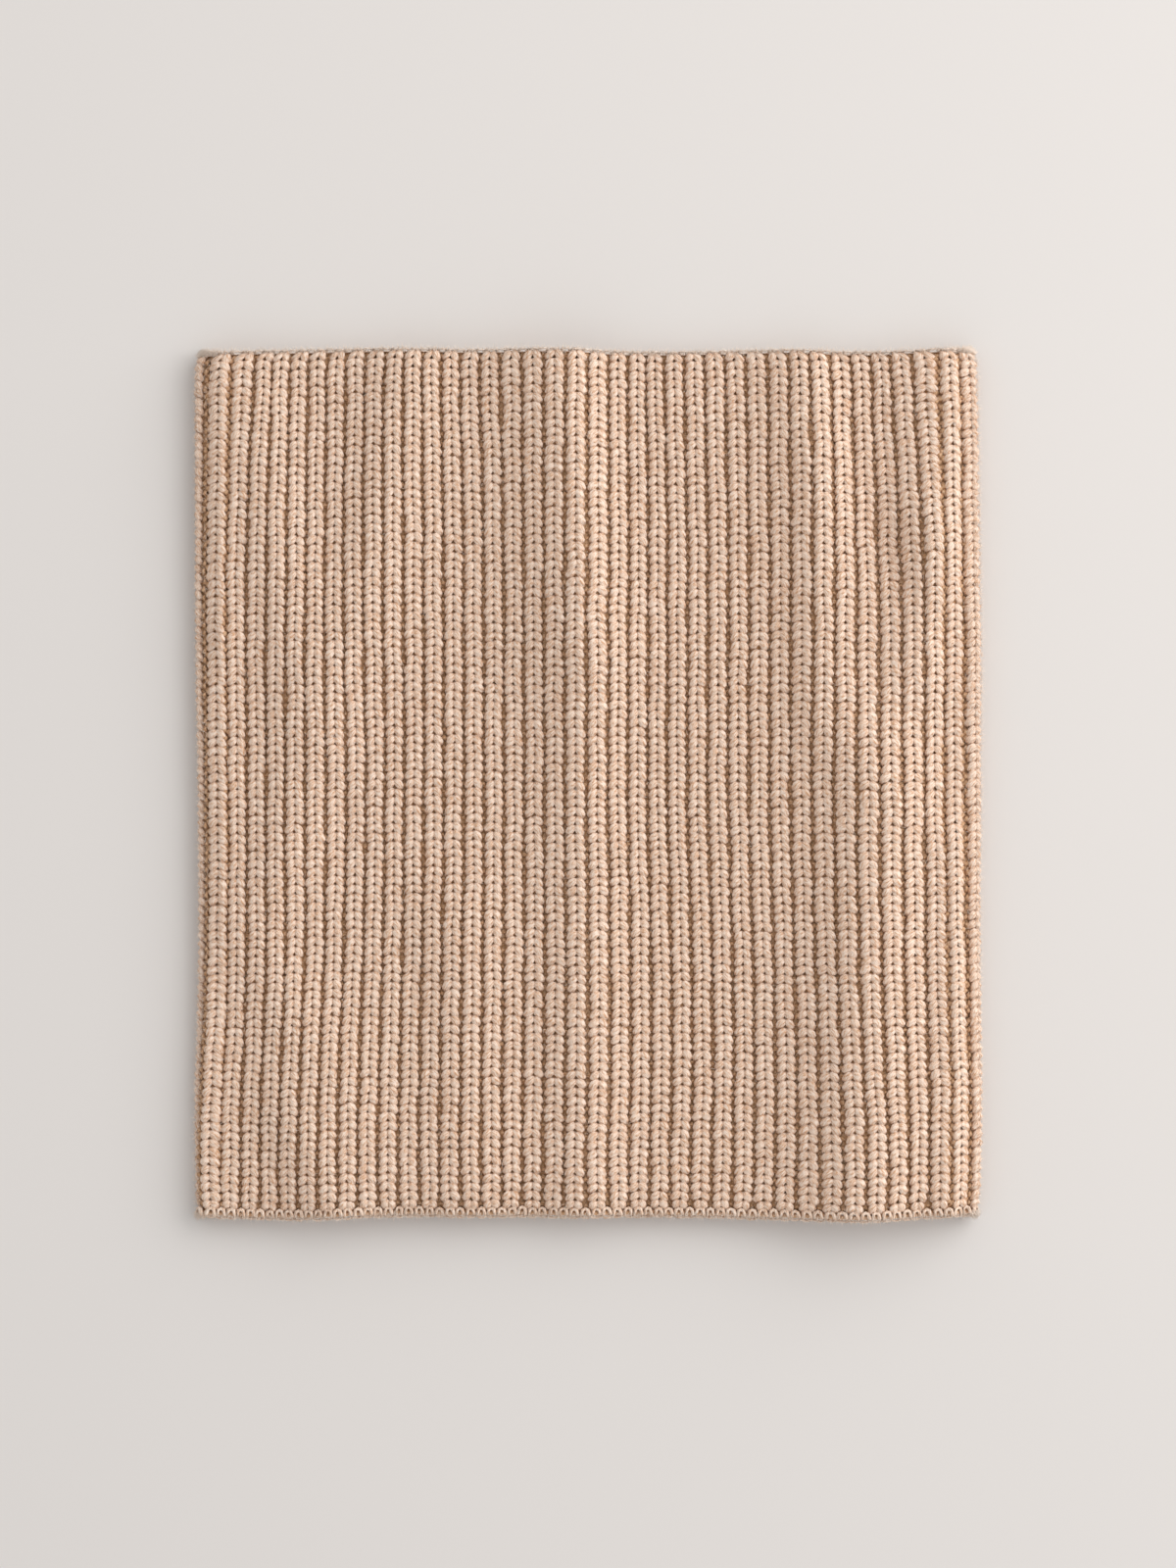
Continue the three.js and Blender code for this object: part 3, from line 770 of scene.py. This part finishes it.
def fibre_halo():
    rib = rng.uniform(-1.0, HALF_WAY + 1.0, FIBRES)
    at_fold = rng.choice(AT_FOLDS["ribs"], FIBRES) + rng.normal(0, AT_FOLDS["spread"], FIBRES)
    rib = np.where(rng.random(FIBRES) < AT_FOLDS["share"], at_fold, rib)
    y = rng.uniform(RIB_FOOT, KNIT_HEAD, FIBRES)
    end = rng.choice([-1, 1], FIBRES)
    at_mouth = np.where(end < 0, *AT_MOUTHS["places"]) + rng.normal(0, AT_MOUTHS["spread"], FIBRES)
    near_mouth = rng.random(FIBRES) < AT_MOUTHS["share"]
    y = np.where(near_mouth, np.clip(at_mouth, -LENGTH / 2, LENGTH / 2), y)
    skin = skin_place(rib, y)
    root = on_cloth(skin, y, np.full(FIBRES, FIBRE["root"]))
    above = on_cloth(skin, y, np.full(FIBRES, FIBRE["root"] + 1))
    way = (above - root) + rng.normal(0, FIBRE["stray"], (FIBRES, 3))
    way[:, 1] += np.where(near_mouth, end * FIBRE["past_mouth"], 0)
    way /= np.linalg.norm(way, axis=1)[:, None]
    length = rng.uniform(FIBRE["short"], FIBRE["long"], FIBRES)[:, None]
    side = np.cross(way, rng.normal(0, 1, (FIBRES, 3)))
    side *= FIBRE["radius"] / np.linalg.norm(side, axis=1)[:, None]
    other = np.cross(way, side)
    thirds = [i * 2 * math.pi / 3 for i in range(3)]
    base = [root + math.cos(turn) * side + math.sin(turn) * other for turn in thirds]
    points = np.stack([*base, root + way * length], axis=1)
    points[..., 2] = np.maximum(points[..., 2], LOWEST)
    needle = {"faces": [[2, 1, 0], [0, 1, 3], [1, 2, 3], [2, 0, 3]], "places": np.zeros((4, 3))}
    return joined_mesh("fibre_halo", needle, points, rng.normal(0, 1, FIBRES))


halo = fibre_halo()
print("halo:", len(halo.data.polygons), "faces")

# %% [markdown]
# Colours are written in the hex form of a screen's colour picker, and one
# function turns them to linear light. Another adds a node to a material with
# its settings and links, so that each material below reads as a short list.

# %% Colours and nodes
def linear(hex_colour):
    channels = [int(hex_colour[i:i + 2], 16) / 255 for i in (0, 2, 4)]
    return [c / 12.92 if c <= 0.04045 else ((c + 0.055) / 1.055) ** 2.4 for c in channels] + [1]


def add_node(tree, kind, settings=None, **sockets):
    """Adds a node, sets its properties, and gives each named input a value or a link."""
    node = tree.nodes.new(kind)
    for key, value in (settings or {}).items():
        setattr(node, key, value)
    for key, value in sockets.items():
        socket = node.inputs[int(key[1:])] if key[1:].isdigit() else node.inputs[key.replace("_", " ")]
        if isinstance(value, bpy.types.NodeSocket):
            tree.links.new(value, socket)
        else:
            socket.default_value = value
    return node


print("a mid grey of 808080 is", round(linear("808080")[0], 3), "in linear light")

# %% [markdown]
# The yarn's colour is a warm beige. Where it lies deep, in the grooves and in the bind-off's core, a
# browner copy of it stands in for the shade that falls there: painted shade. The paler copies at the two
# edges and on the loose fibres are painted light. Its finish is matt with a soft sheen from the fibres. Two
# patterns lie on it: the plies, which wind round the yarn once every nine millimetres and leave slanted
# grooves, and the single fibres, which run nearly along it. Both are drawn from the place in the straight
# yarn, in millimetres, so they follow each leg. The fibres' pattern is ten times as coarse as real fibres,
# which wouldn't show.

# %% Yarn
PLIES, PLY_TURN = 4, 9.0
FIBRE_WIDTH, FIBRE_RUN = 0.4, 0.35
YARN_MOTTLE = {"contrast": 4.6, "shift": -1.66, "plies": 0.08, "stitch": 0.05}
PLY_DEPTH, FIBRE_DEPTH = 0.25 * MM, 0.6 * MM


def yarn_material(name, light, dark, sheen):
    """Soft brushed wool blend, spun and plied: matt, with slanted ply lines."""
    material = bpy.data.materials.new(name)
    material.use_nodes = True
    tree = material.node_tree
    shader = tree.nodes["Principled BSDF"]
    place = add_node(tree, "ShaderNodeAttribute", {"attribute_name": "yarn_place"})
    tone = add_node(tree, "ShaderNodeAttribute", {"attribute_name": "tone"})
    parts = add_node(tree, "ShaderNodeSeparateXYZ", Vector=place.outputs["Vector"])
    around = add_node(tree, "ShaderNodeMath", {"operation": "ARCTAN2"},
                      i0=parts.outputs["Z"], i1=parts.outputs["Y"])
    turned = add_node(tree, "ShaderNodeMath", {"operation": "MULTIPLY"}, i0=around.outputs[0], i1=PLIES)
    wound = add_node(tree, "ShaderNodeMath", {"operation": "MULTIPLY_ADD"},
                     i0=parts.outputs["X"], i1=PLIES * 2 * math.pi / PLY_TURN, i2=turned.outputs[0])
    ply = add_node(tree, "ShaderNodeMath", {"operation": "SINE"}, i0=wound.outputs[0])
    stretch = add_node(tree, "ShaderNodeMapping", Vector=place.outputs["Vector"],
                       Scale=(FIBRE_RUN / FIBRE_WIDTH, 1 / FIBRE_WIDTH, 1 / FIBRE_WIDTH))
    fibres = add_node(tree, "ShaderNodeTexNoise", Vector=stretch.outputs[0],
                      Scale=1.0, Detail=3.0, Roughness=0.65)
    mottle = add_node(tree, "ShaderNodeMath", {"operation": "MULTIPLY_ADD"},
                      i0=fibres.outputs["Fac"], i1=YARN_MOTTLE["contrast"], i2=YARN_MOTTLE["shift"])
    ply_part = add_node(tree, "ShaderNodeMath", {"operation": "MULTIPLY_ADD"},
                        i0=ply.outputs[0], i1=YARN_MOTTLE["plies"], i2=mottle.outputs[0])
    mixed = add_node(tree, "ShaderNodeMath", {"operation": "MULTIPLY_ADD", "use_clamp": True},
                     i0=tone.outputs["Fac"], i1=YARN_MOTTLE["stitch"], i2=ply_part.outputs[0])
    colour = add_node(tree, "ShaderNodeMix", {"data_type": "RGBA"}, i0=mixed.outputs[0],
                      i6=linear(dark), i7=linear(light))
    tree.links.new(colour.outputs[2], shader.inputs["Base Color"])
    ply_bump = add_node(tree, "ShaderNodeBump", Strength=0.5, Distance=PLY_DEPTH, Height=ply.outputs[0])
    fibre_bump = add_node(tree, "ShaderNodeBump", Strength=0.8, Distance=FIBRE_DEPTH,
                          Height=fibres.outputs["Fac"], Normal=ply_bump.outputs[0])
    tree.links.new(fibre_bump.outputs[0], shader.inputs["Normal"])
    shader.inputs["Roughness"].default_value = 0.95
    shader.inputs["Specular IOR Level"].default_value = 0.2
    shader.inputs["Sheen Weight"].default_value = sheen
    shader.inputs["Sheen Roughness"].default_value = 0.5
    shader.inputs["Sheen Tint"].default_value = linear("F6E4D4")
    return material


# The crests of the ribs: pale, with a faint sheen from the fibres on them.
wool = yarn_material("brushed_wool_blend_yarn", "FBE6D5", "D5A47D", sheen=0.2)
# The purl side in the grooves: browner, as painted shade for the shade deep between the ribs, and with less
# sheen, as few fibres stand up.
deep_wool_painted_shade = yarn_material("brushed_wool_blend_purl_side_painted_shade", "E8C29E", "BA895F", sheen=0.1)
# The chain of the bind-off: a paler, more even copy of the yarn, painted light that brightens the chain.
edge_wool_painted_light = yarn_material("brushed_wool_blend_edge_yarn_painted_light", "FBE8D8", "DDB290", sheen=0.2)
# The cast-on's thin strand and its core: the palest copy of the yarn, painted light for the light caught by
# its fuzz.
cast_on_wool_painted_light = yarn_material("brushed_wool_blend_cast_on_yarn_painted_light", "FFF6EE", "F2D6BE", sheen=0.4)
# Single loose fibres: nearly white, painted light for the light that passes through them.
loose_wool_painted_light = yarn_material("brushed_wool_blend_loose_fibres_painted_light", "FFF4EA", "F4DCC6", sheen=0.4)
print(len(wool.node_tree.nodes), "nodes in a yarn's material")

# %% [markdown]
# The ground is the same yarn, seen in the shade between the stitches and on the inside of the tube. Its
# colour is a browner copy of the yarn's: painted shade. There the rows show as slanted strands, one to a
# course, that lean away from the middle of each rib. They could be modelled like the legs, but inside they
# would hardly be seen, so a sine wave over the place in the cloth draws them, with a fuzz of about 0.7 mm
# over it.

# %% Ground in the shade
ROW_SLANT = 0.8
FUZZ_PER_METRE = 1400.0
GROUND_MOTTLE = {"contrast": 1.6, "shift": -0.3, "rows": 0.3}
ROW_DEPTH, FUZZ_DEPTH = 0.6 * MM, 0.4 * MM


def ground_material():
    """The same yarn seen deep between stitches and inside the tube: matt, and browner as painted shade,
    with its rows drawn as slanted strands on both sides of each rib."""
    material = bpy.data.materials.new("wool_ground_painted_shade")
    material.use_nodes = True
    tree = material.node_tree
    shader = tree.nodes["Principled BSDF"]
    place = add_node(tree, "ShaderNodeAttribute", {"attribute_name": "cloth_place"})
    parts = add_node(tree, "ShaderNodeSeparateXYZ", Vector=place.outputs["Vector"])
    aside = add_node(tree, "ShaderNodeMath", {"operation": "ABSOLUTE"}, i0=parts.outputs["X"])
    slanted = add_node(tree, "ShaderNodeMath", {"operation": "MULTIPLY_ADD"},
                       i0=aside.outputs[0], i1=-ROW_SLANT, i2=parts.outputs["Y"])
    turned = add_node(tree, "ShaderNodeMath", {"operation": "MULTIPLY"},
                      i0=slanted.outputs[0], i1=2 * math.pi / COURSE)
    strands = add_node(tree, "ShaderNodeMath", {"operation": "SINE"}, i0=turned.outputs[0])
    coords = add_node(tree, "ShaderNodeTexCoord")
    fuzz = add_node(tree, "ShaderNodeTexNoise", Vector=coords.outputs["Object"],
                    Scale=FUZZ_PER_METRE, Detail=2.0)
    mottle = add_node(tree, "ShaderNodeMath", {"operation": "MULTIPLY_ADD"},
                      i0=fuzz.outputs["Fac"], i1=GROUND_MOTTLE["contrast"], i2=GROUND_MOTTLE["shift"])
    mixed = add_node(tree, "ShaderNodeMath", {"operation": "MULTIPLY_ADD", "use_clamp": True},
                     i0=strands.outputs[0], i1=GROUND_MOTTLE["rows"], i2=mottle.outputs[0])
    # Both browns are darker than the ribs' yarn: painted shade between the stitches.
    colour = add_node(tree, "ShaderNodeMix", {"data_type": "RGBA"}, i0=mixed.outputs[0],
                      i6=linear("B48860"), i7=linear("E2BF9E"))
    tree.links.new(colour.outputs[2], shader.inputs["Base Color"])
    row_bump = add_node(tree, "ShaderNodeBump", Strength=0.7, Distance=ROW_DEPTH, Height=strands.outputs[0])
    bump = add_node(tree, "ShaderNodeBump", Strength=0.6, Distance=FUZZ_DEPTH,
                    Height=fuzz.outputs["Fac"], Normal=row_bump.outputs[0])
    tree.links.new(bump.outputs[0], shader.inputs["Normal"])
    shader.inputs["Roughness"].default_value = 1.0
    shader.inputs["Specular IOR Level"].default_value = 0.1
    return material


ground_wool_painted_shade = ground_material()
print("rows on the ground repeat every", round(COURSE, 2), "mm")

# %% [markdown]
# Each piece gets its yarn, and is told which body it moves with. The whole scarf is one sheet of cloth,
# knitted in the round to the size given here, so every other piece lies on the ground's sheet. The strands
# of the fold grooves are as pale as the ribs beside them.

# %% A finish for each piece
def finish_piece(piece, material):
    piece.data.materials.clear()
    piece.data.materials.append(material)
    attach(piece, "root")


*deep_grooves, fold_grooves = grooves
finish_piece(ground, ground_wool_painted_shade)
# The core under the bind-off chain takes the browner yarn: painted shade.
finish_piece(bind_off_core, deep_wool_painted_shade)
finish_piece(cast_on_core, cast_on_wool_painted_light)
for piece in ribs:
    finish_piece(piece, wool)
for piece in deep_grooves:
    finish_piece(piece, deep_wool_painted_shade)
finish_piece(fold_grooves, wool)
finish_piece(halo, loose_wool_painted_light)
finish_piece(bind_off, edge_wool_painted_light)
finish_piece(cast_on, cast_on_wool_painted_light)
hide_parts("rib_tube")
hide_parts("bind_off_edge")
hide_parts("cast_on_edge")
print("materials:", [m.name for m in bpy.data.materials if m.users])

# %% [markdown]
# The scarf was photographed from straight above on a pale warm surface. One
# large soft light stands to the upper right, a small one on the right lifts
# the ribs a little, and the room fills in the rest, so that shadows show only
# along the left and lower edges.

# %% Floor and light
FLOOR_SIZE = 6
LIGHTS = [
    {"name": "large_window", "place": (1.6, 1.05, 1.1), "size": 2.5, "power": 39, "colour": "FFFDFB"},
    {"name": "white_wall", "place": (1.3, 0.1, 0.8), "size": 1.0, "power": 3.0, "colour": "FFFFFF"},
]
ROOM = {"colour": "FAF9F8", "strength": 0.72}


def pale_floor():
    """Matt pale paper: it shows the shadow and nothing of its own."""
    deselect_all()
    bpy.ops.mesh.primitive_plane_add(size=FLOOR_SIZE, location=(0, 0, 0))
    floor = bpy.context.object
    floor.name = "pale_surface"
    material = bpy.data.materials.new("matt_pale_paper")
    material.use_nodes = True
    shader = material.node_tree.nodes["Principled BSDF"]
    shader.inputs["Base Color"].default_value = linear("DFDBD8")
    shader.inputs["Roughness"].default_value = 0.9
    shader.inputs["Specular IOR Level"].default_value = 0.1
    floor.data.materials.append(material)


def area_light(name, place, size, power, colour):
    """A square light that faces the middle of the scarf."""
    deselect_all()
    bpy.ops.object.light_add(type="AREA", location=place)
    light = bpy.context.object
    light.name = name
    light.data.size = size
    light.data.energy = power
    light.data.color = linear(colour)[:3]
    away = math.atan2(math.hypot(place[0], place[1]), place[2])
    light.rotation_euler = (0, away, math.atan2(place[1], place[0]))
    return light


def bright_room(colour, strength):
    world = bpy.data.worlds.new("bright_room")
    world.use_nodes = True
    background = world.node_tree.nodes["Background"]
    background.inputs["Color"].default_value = linear(colour)
    background.inputs["Strength"].default_value = strength
    bpy.context.scene.world = world


pale_floor()
lights = [area_light(**row) for row in LIGHTS]
bright_room(**ROOM)
bpy.context.scene.view_settings.view_transform = "Standard"
print("lights:", [light.name for light in lights])

# %% [markdown]
# The camera looks straight down, as the photograph's did. One of the photo's
# 1,600 rows is 0.3743 mm of cloth, seen at the level of the rib crests, which
# gives how high a camera with this lens has to be. A portrait picture uses the
# long side of the sensor for its height.

# %% Camera
PHOTO_MM, FRAME_HIGH = 0.3743, 1600
PHOTO_CENTRE_X = -0.4
LENS, SENSOR = 85, 36


def straight_down_camera():
    distance = FRAME_HIGH * PHOTO_MM * MM * LENS / SENSOR
    bpy.ops.object.camera_add(location=(PHOTO_CENTRE_X * MM, 0, distance + 2 * FOLD_RADIUS * MM))
    camera = bpy.context.object
    camera.data.lens = LENS
    camera.data.sensor_width = SENSOR
    bpy.context.scene.camera = camera
    return camera


camera = straight_down_camera()
print("camera", round(camera.location.z, 3), "m above the surface")
